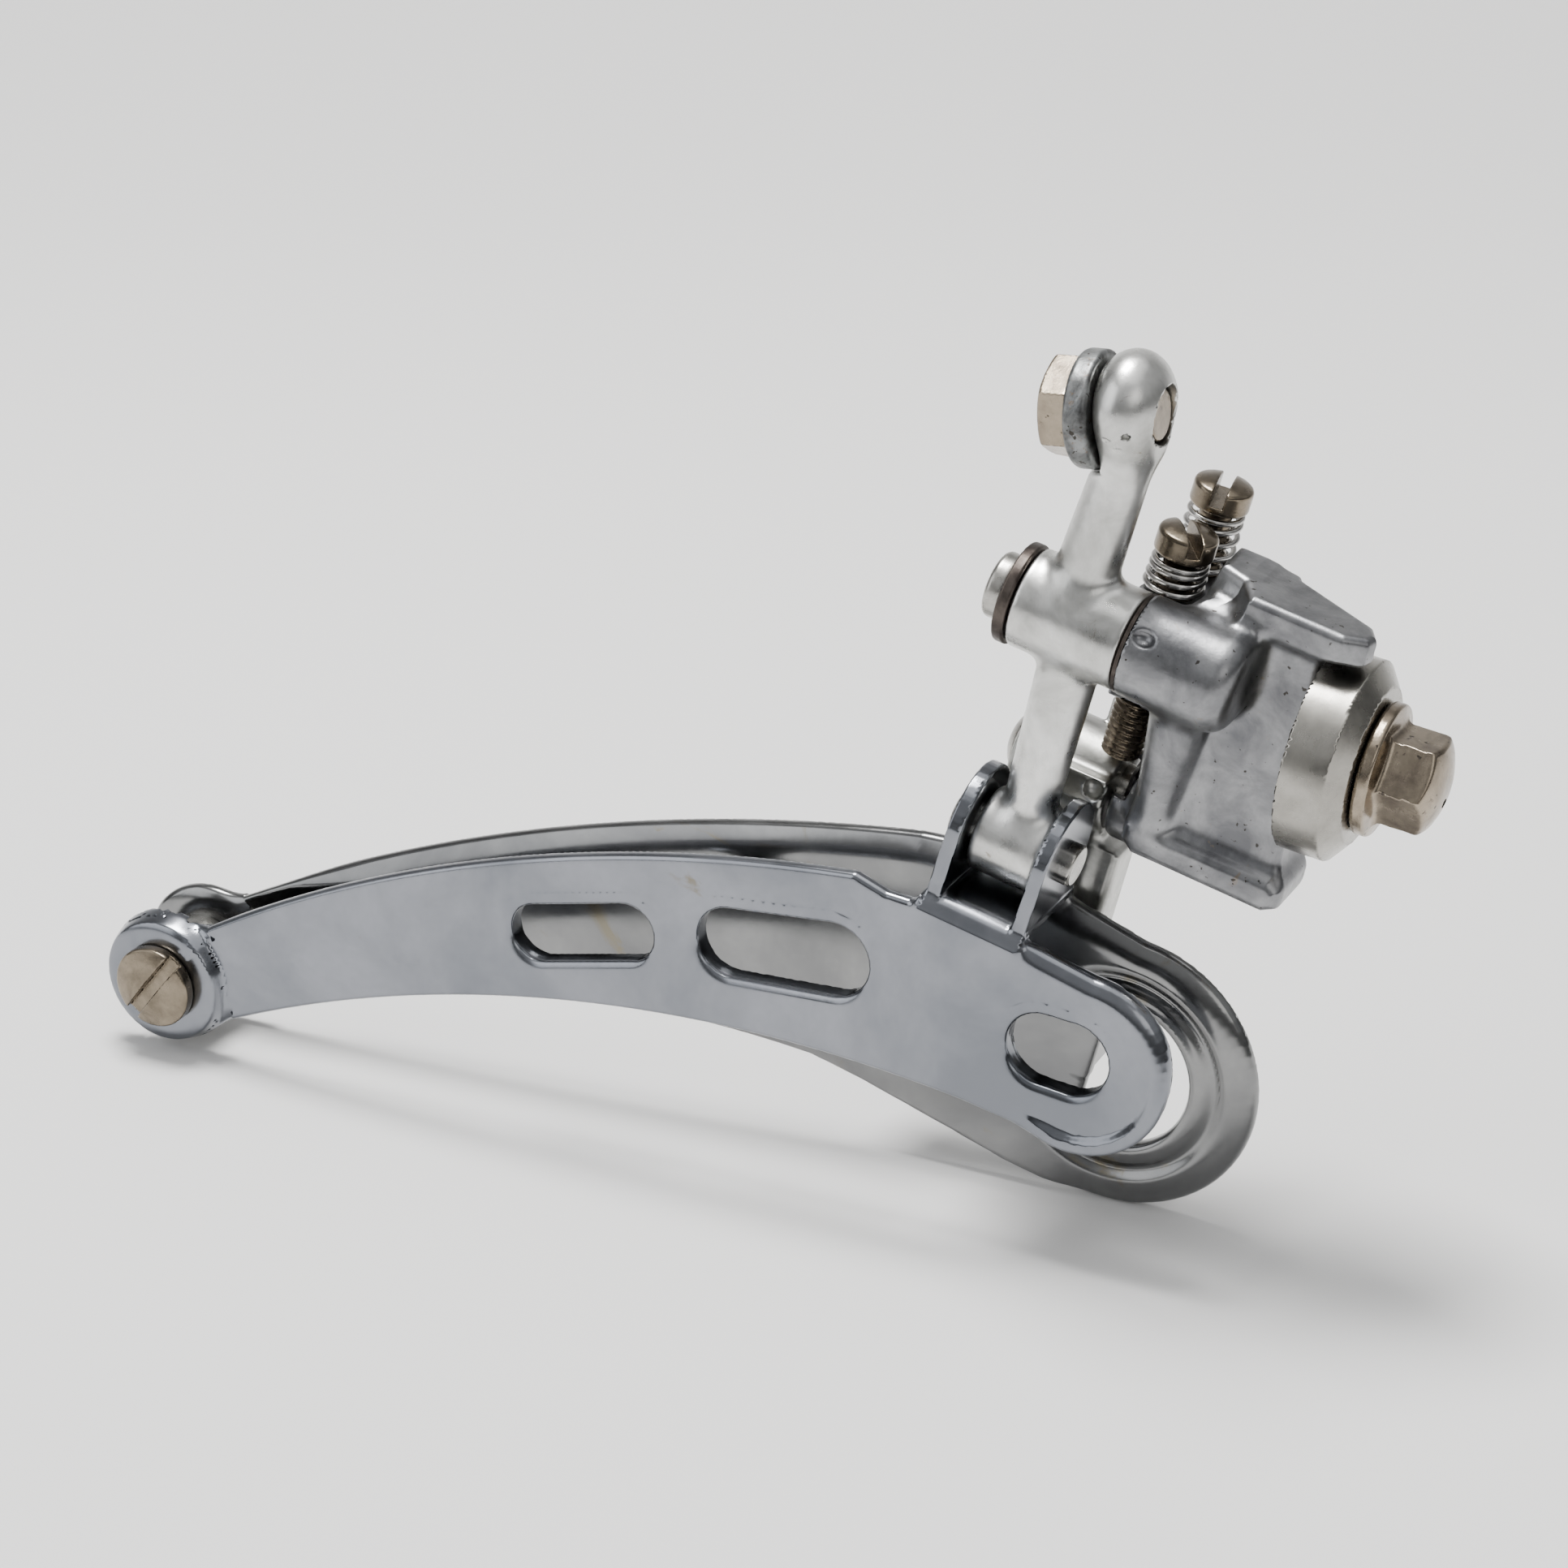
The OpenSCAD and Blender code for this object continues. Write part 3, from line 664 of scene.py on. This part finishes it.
solid("inner_link_casting", f_inner, (-11.2, 4.2, -46.5), (11.6, 17, -11), 0.33, "inner_link",
      ["inner_link"], INNER)
solid("inner_pin_head", f_inner_pin, (-6, 6.8, -22.8), (14.6, 14.4, -15.2), 0.24, "inner_link",
      ["inner_upper_pin"], STEEL)
solid("inner_low_pin_rod", f_inner_low_pin, (-13.8, 7.9, -45.6), (14, 14.5, -39), 0.22, "cage",
      ["inner_lower_pin"], STEEL)
solid("outer_low_pin_rod", f_outer_low_pin, (-6, -2.6, -26.6), (7.8, 3.8, -20), 0.2, "cage",
      ["outer_lower_pin"], STEEL)


# ------------------------------------------------------------------ limit screws and springs
SCREW_LEN, SCREW_HEAD_R, PITCH = 20.55, 2.75, 0.7


def f_screw(y0, top, turn):
    """A slotted screw: top is the underside of its head, turn the slot's direction."""
    cs, sn = math.cos(turn), math.sin(turn)

    def f(p):
        x, y, z = p[:, 0] - SCREW_X, p[:, 1] - y0, p[:, 2]
        r = np.hypot(x, y)
        a = np.arctan2(y, x) / (2 * math.pi)
        w = np.abs(((z / PITCH + a) % 1.0) - 0.5) * 2
        thread = r - (1.96 - 0.34 * w)
        shank = np.where(z < top - 2.0, thread * 0.75, r - 1.55)
        shank = smax(smax(shank, z - top - 0.3, 0.1), (top - SCREW_LEN) - z, 0.25)
        edge = 0.4
        hz = np.abs(z - top - 1.4) - 1.4 + edge
        hd = r - SCREW_HEAD_R + edge
        head = np.minimum(np.maximum(hd, hz), 0) + np.hypot(np.maximum(hd, 0), np.maximum(hz, 0)) - edge
        head = smax(head, np.hypot(r, z - top + 3.6) - 6.4, 0.3)
        s = np.maximum(np.abs(-sn * x + cs * y) - 0.62, (top + 0.8) - z)
        head = smax(head, -s, 0.15)
        return smin(shank, head, 0.15)
    return f


HEADS = {"high": (SCREW_YS[0], 6.3, math.radians(126)), "low": (SCREW_YS[1], 8.8, math.radians(100))}
for key, (sy, top, turn) in HEADS.items():
    solid("screw_" + key, f_screw(sy, top, turn), (2.4, sy - 3.3, top - 21.6), (9, sy + 3.3, top + 3.4), 0.16,
          "limit_screw_" + key, ["limit_screw_" + key], BRONZE)
    n = 300
    z0, z1 = 2.95, top - 0.35
    t = np.linspace(0, 1, n)
    # the end coils lie close together: e is the rise of one of them, close how many are at the top
    e = 0.56 / (z1 - z0)
    turns, close = (4.2, 1.7) if key == "high" else (5.2, 1.0)
    knots_t = np.array([0, 0.7, turns - close, turns]) / turns
    knots_z = np.array([0, 0.7 * e, 1 - close * e, 1])
    zz = z0 + (z1 - z0) * np.interp(t, knots_t, knots_z)
    ker = np.ones(15) / 15
    zz[7:-7] = np.convolve(zz, ker, "valid")
    ang = 2 * math.pi * turns * t + 0.8
    rr = 2.36 + 0.24 * (1 - t)
    sweep("coil_" + key, np.stack([SCREW_X + rr * np.cos(ang), sy + rr * np.sin(ang), zz], 1), 0.28, 12, "body",
          ["limit_spring_" + key], SPRING)


# ------------------------------------------------------------------ cage
def egg(u, v, a, b, ra, rb):
    ex, ey = b[0] - a[0], b[1] - a[1]
    wx, wy = u - a[0], v - a[1]
    t = np.clip((wx * ex + wy * ey) / (ex * ex + ey * ey), 0, 1)
    return np.hypot(wx - t * ex, wy - t * ey) - (ra + (rb - ra) * t)


# the near plate's slots, each with its two ends as (x, z) and their radii, and its outline
SLOTS = [((-40.0, -50.5), (-31.3, -46.1), 2.9, 2.9), ((-20.9, -42.1), (-10.9, -38.9), 3.5, 3.7),
         ((10.6, -38.0), (13.4, -37.6), 3.55, 3.6)]
NEAR = (arc3((-77.6, -69.9), (-38.6, -40.9), (-11, -29.4), 40)
        + [(-7.7, -29.85), (-5.3, -29.5), (-4.3, -28.6), (5.7, -28.8)]
        + arc3((13, -29.2), (22.95, -37.9), (14.2, -46.65), 30)
        + arc3((10, -46.35), (-24.8, -52.4), (-73.9, -79.2), 40))


def near_out(u, v):
    d = poly(u, v, NEAR)
    lobe = np.hypot(u - TAIL[0], v - TAIL[1]) - 7.0
    return smin(d, lobe, 1.2)


near2 = Field2(near_out, (-88, -85), (27, -24))
slot2 = Field2(lambda u, v: np.min([egg(u, v, *s) for s in SLOTS], axis=0), (-88, -85), (27, -24))


def step(t):
    t = np.clip(t, 0, 1)
    return t * t * (3 - 2 * t)


def f_near(p):
    x, y, z = p.T
    d2 = near2(x, z)
    inn = -d2
    s = slot2(x, z)
    lobe_r = np.hypot(x - TAIL[0], z - TAIL[1])
    face = np.full(len(p), -7.0)
    # raised lobe with a step, and its rounded rim
    face -= 1.3 * step((7.1 - lobe_r) / 0.8)
    face += np.where(lobe_r < 8, 0.22 * np.maximum(1.8 - inn, 0) ** 2, 0)
    # top edge turned inboard a little, nose lip turned out
    up = step((z + 40.0 + 0.35 * np.minimum(x + 10, 0)) / 8) * step((x - 4) / 4)
    face += 0.34 * up * np.maximum(1.7 - inn, 0) ** 2
    side = step((x - 9) / 6) * (1 - up)
    face -= 0.55 * side * step((2.0 - inn) / 0.9) - 0.15 * side * np.maximum(0.9 - inn, 0) ** 2
    along = (1 - step((x - 4) / 4)) * np.where(lobe_r > 8, 1, 0)
    face += 0.25 * along * np.maximum(0.9 - inn, 0) ** 2
    # soft sink beside the slots
    face += 0.55 * np.maximum(1.0 - s, 0) ** 2 * (s > -1)
    sheet = np.abs(y - (face + 0.6)) - 0.6
    wall = np.maximum(np.abs(s - 0.45) - 0.45, np.abs(y + 5.6) - 1.05)
    sheet = smin(sheet, wall, 0.7)
    d = smax(smax(sheet, d2, 0.5), -s, 0.35)
    # the bend up into the bridge
    fold = np.where((x > -6) & (x < 7.5), z + 29.9, -9)
    d = smax(d, np.where((x > -4.3) & (x < 5.7), fold, -9), 0.1)
    cy, cz, cr = -4.9, -30.2, 1.5
    arc = np.abs(np.hypot(y - cy, z - cz) - cr)
    arc = np.where((y < cy) & (z > cz), arc, 99)
    flat = np.where(y >= cy, np.hypot(z - (cz + cr), np.maximum(y - 5.3, 0)), 99)
    stem = np.where(z <= cz, np.hypot(y - (cy - cr), np.maximum(-31.2 - z, 0)), 99)
    path = np.minimum(np.minimum(arc, flat), stem) - 0.6
    bridge = smax(path, np.abs(x - 0.7) - 5.0, 0.2)
    d = smin(d, bridge, 0.9)
    # ears of the outer clevis
    ear = poly(y, z, EAR)
    for x0 in (-4.3, 4.3):
        d = smin(d, prism(ear, x, x0, x0 + 1.4, 0.22), 0.3)
    d = np.maximum(d, -cyl_x(p, -3.0, 4.4, 3.3, B, 0.05))
    d = np.maximum(d, -(np.hypot(x - TAIL[0], z - TAIL[1]) - 2.55))
    return d


EAR = [(-6.2, -28.6), (-6.0, -27.4)] + arc3((-5.4, -22.5), (0.2, -17.3), (5.8, -22.9), 24) + [(5.3, -28.6)]
solid("outer_cage_shell", f_near, (-86.5, -10, -83), (24.5, 6.6, -16.8), 0.34, "cage",
      ["outer_cage_plate"], CHROME)

FACE_Y, TAIL_Y = 5.4, 0.1  # the far plate's near face at the front and at the tail
HX = -10.0  # where it bends
SWING = math.atan((FACE_Y - TAIL_Y) / (HX - TAIL[0]))
FNOSE = (14.7, -44.9)
FAR = (arc3((-77.3, -68.8), (-43.8, -45), (HX, -30.45), 30)
       + arc3((HX, -30.45), (-4, -29.3), (4, -28.9), 6)[1:]
       + [(5.7, -30.2)] + arc3((13.5, -31.15), (28.5, -44.9), (14.7, -58.7), 36)
       + [(11, -59.0), (7, -59.0), (1, -58.5), (-3.4, -58.2), (-9, -57.8)]
       + arc3((-14.4, -57.5), (-38, -62), (-73.6, -79.8), 30))


def far_out(u, v):
    d = poly(u, v, FAR)
    lobe = np.hypot(u - TAIL[0], v - TAIL[1]) - 6.9
    return smin(d, lobe, 1.5)


far2 = Field2(far_out, (-88, -85), (32, -24))


def f_far(p):
    x, y, z = p.T
    d2 = far2(x, z)
    inn = -d2
    # plate runs straight at the front and swings out towards the tail, with a soft bend between
    t = HX - x
    swing = math.tan(SWING) * (np.where(t > 3, t, np.where(t < -3, 0, (t + 3) ** 2 / 12)))
    face = FACE_Y - swing
    lobe_r = np.hypot(x - TAIL[0], z - TAIL[1])
    r = np.hypot(x - FNOSE[0], z - FNOSE[1])
    near_nose = step(x / 8)
    # nose ring: recessed flat, groove, then the outer rim that curves away
    face += 0.55 * np.exp(-((r - 9.9) / 0.75) ** 2) * step((x - 6) / 5)
    foot = step((-52 - z) / 4) * step((17 - x) / 6)
    face += 0.13 * near_nose * (1 - foot) * np.maximum(2.8 - inn, 0) ** 2
    # top edge rolled away from the outer plate, all the way to the tail
    mid = -44.0 + 0.30 * (x + 10) * (x < -10)
    top = (1 - near_nose) * step((z - mid + 2) / 4)
    face += 0.10 * top * np.maximum(3.4 - inn, 0) ** 2
    face += np.where(lobe_r < 8, 0.1 * np.maximum(2.6 - inn, 0) ** 2, 0) * (1 - top)
    hole = smax(r - 7.3, 12.3 - x, 0.8)
    face += 0.5 * np.maximum(0.9 - hole, 0) ** 2 * (hole > -1)
    win = np.maximum(np.abs(x + 4.4) - 6.0, np.abs(z + 42.75) - 5.25)
    sheet = np.abs(y - (face + 0.6)) - 0.58
    d = smax(smax(sheet, d2, 0.5), -hole, 0.35)
    d = smax(d, -win, 0.3)
    ear = poly(y, z, EAR2)
    for x0 in (-11.9, 11.0):
        d = smin(d, prism(ear, x, x0, x0 + 1.2, 0.22), 0.6)
    d = np.maximum(d, -(lobe_r - 2.55))
    return d


EAR2 = [(5.6, -46.5)] + arc3((11.2, -46.3), (15.2, -42.3), (11.2, -38.3), 18) + [(5.6, -38.1)]
solid("inner_cage_shell", f_far, (-86.5, -1.2, -83), (30, 16, -27.2), 0.34, "cage",
      ["inner_cage_plate"], CHROME2)


def f_tail(p):
    x, y, z = p[:, 0] - TAIL[0], p[:, 1], p[:, 2] - TAIL[1]
    r = np.hypot(x, z)
    head = smax(r - 4.25, np.abs(y + 9.3) - 1.0, 0.5)
    head = smax(head, np.sqrt(r * r + (y - 3.2) ** 2) - 13.6, 0.2)
    a = math.radians(66)
    s = np.maximum(np.abs(-math.sin(a) * x + math.cos(a) * z) - 0.72, y + 9.0)
    head = smax(head, -s, 0.12)
    rod = np.maximum(r - 2.5, np.abs(y + 3.0) - 5.4)
    return np.minimum(head, rod)


solid("tail_screw", f_tail, (-83.5, -11.2, -80), (-73.1, 3.6, -69.6), 0.22, "cage", ["cage_screw"], BRONZE)

for node, mat in (("outer_thrust_washer", DARK), ("cage_spacer", STEEL), ("return_spring", SPRING)):
    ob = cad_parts[node]
    for s in ob.material_slots:
        s.material = mat

# ------------------------------------------------------------------ stage
# the camera's turn and tilt; the paper and the lamps are laid out along its view
AZIMUTH, ELEVATION = math.radians(26.4), math.radians(23.6)
fw = np.array([-math.sin(AZIMUTH), math.cos(AZIMUTH)])
rt = np.array([math.cos(AZIMUTH), math.sin(AZIMUTH)])
low = cad_box[0][2]
# paper sweep as (distance, height) in m: flat floor, quarter round, back wall
BACK, BEND_R, WALL = 0.35, 0.5, 2.4
prof = [(-0.9, 0.0), (BACK, 0.0)]
for a in np.linspace(0.05, math.pi / 2, 24):
    prof.append((BACK + BEND_R * math.sin(a), BEND_R - BEND_R * math.cos(a)))
prof.append((BACK + BEND_R, WALL))
pts = []
for s in (-1.8, 1.8):
    for d, h in prof:
        q = fw * d + rt * s
        pts.append((q[0], q[1], low + h))
m = len(prof)
quads = [(i, i + 1, m + i + 1, m + i) for i in range(m - 1)]
floor = make("studio_floor", np.array(pts), quads, None, local=True)
fm = Mat("studio_paper")
fm.put("Roughness", 0.75)
fm.put("Specular IOR Level", 0.15)
c = fm.ramp(fm.noise(0.004, 3, 0.5), [(0.3, (0.715, 0.713, 0.708)), (0.7, (0.735, 0.733, 0.728))])
fm.link(c, fm.b.inputs["Base Color"])
floor.data.materials.append(fm.m)


def lamp(name, pos, size, power, col=(1, 1, 1), aim=(-0.03, 0, -0.02)):
    l = bpy.data.lights.new(name, "AREA")
    l.shape = "RECTANGLE"
    l.size, l.size_y = size
    l.energy = power
    l.color = col
    o = bpy.data.objects.new(name, l)
    o.location = pos
    d = Vector(aim) - Vector(pos)
    o.rotation_euler = d.to_track_quat("-Z", "Y").to_euler()
    bpy.context.scene.collection.objects.link(o)
    return o


def at(right, fwd, up):
    q = rt * right + fw * fwd
    return (q[0], q[1], up)


lamp("key_top", at(-0.12, 0.12, 0.70), (0.26, 0.26), 10.7, (1, 0.99, 0.98))
lamp("top_wide", at(0.05, 0.0, 0.80), (0.9, 0.9), 2.5)
lamp("left_soft", at(-0.75, -0.25, 0.35), (0.6, 0.7), 2.5, (0.97, 0.98, 1))
lamp("front_soft", at(0.35, -0.75, 0.45), (0.5, 0.4), 0.8, (1, 0.98, 0.95))

w = bpy.data.worlds.new("studio")
bpy.context.scene.world = w
w.use_nodes = True
bg = w.node_tree.nodes["Background"]
tc = w.node_tree.nodes.new("ShaderNodeTexCoord")
sp = w.node_tree.nodes.new("ShaderNodeSeparateXYZ")
rm = w.node_tree.nodes.new("ShaderNodeValToRGB")
for i, (pos, g) in enumerate(((0.0, 0.28), (0.08, 0.16), (0.42, 1.0))):
    if i > 1:
        rm.color_ramp.elements.new(pos)
    rm.color_ramp.elements[i].position = pos
    rm.color_ramp.elements[i].color = (g * 0.98, g * 0.99, g, 1)
w.node_tree.links.new(tc.outputs["Generated"], sp.inputs["Vector"])
w.node_tree.links.new(sp.outputs["Z"], rm.inputs["Fac"])
w.node_tree.links.new(rm.outputs["Color"], bg.inputs["Color"])
bg.inputs["Strength"].default_value = 0.50

# ------------------------------------------------------------------ camera
PHOTO_PX, FOCAL_PX, DISTANCE = 1932, 5000, 0.3559
ANCHOR_PX = (359, 206)  # the pivot frame's origin in the photo, right of and above the middle
F = np.array([fw[0] * math.cos(ELEVATION), fw[1] * math.cos(ELEVATION), -math.sin(ELEVATION)])
R = np.array([rt[0], rt[1], 0.0])
U = np.cross(R, F)
anchor = to_row(np.array([[0.0, 0.0, 0.0]]))[0]
eye = anchor - DISTANCE * (F + R * ANCHOR_PX[0] / FOCAL_PX + U * ANCHOR_PX[1] / FOCAL_PX)
cam = bpy.data.cameras.new("photo_camera")
cam.sensor_width = 36
cam.lens = cam.sensor_width * FOCAL_PX / PHOTO_PX
cam.clip_start = 0.01
co = bpy.data.objects.new("photo_camera", cam)
mw = Matrix.Identity(4)
for i in range(3):
    mw[i][0], mw[i][1], mw[i][2], mw[i][3] = R[i], U[i], -F[i], eye[i]
co.matrix_world = mw
bpy.context.scene.collection.objects.link(co)
bpy.context.scene.camera = co
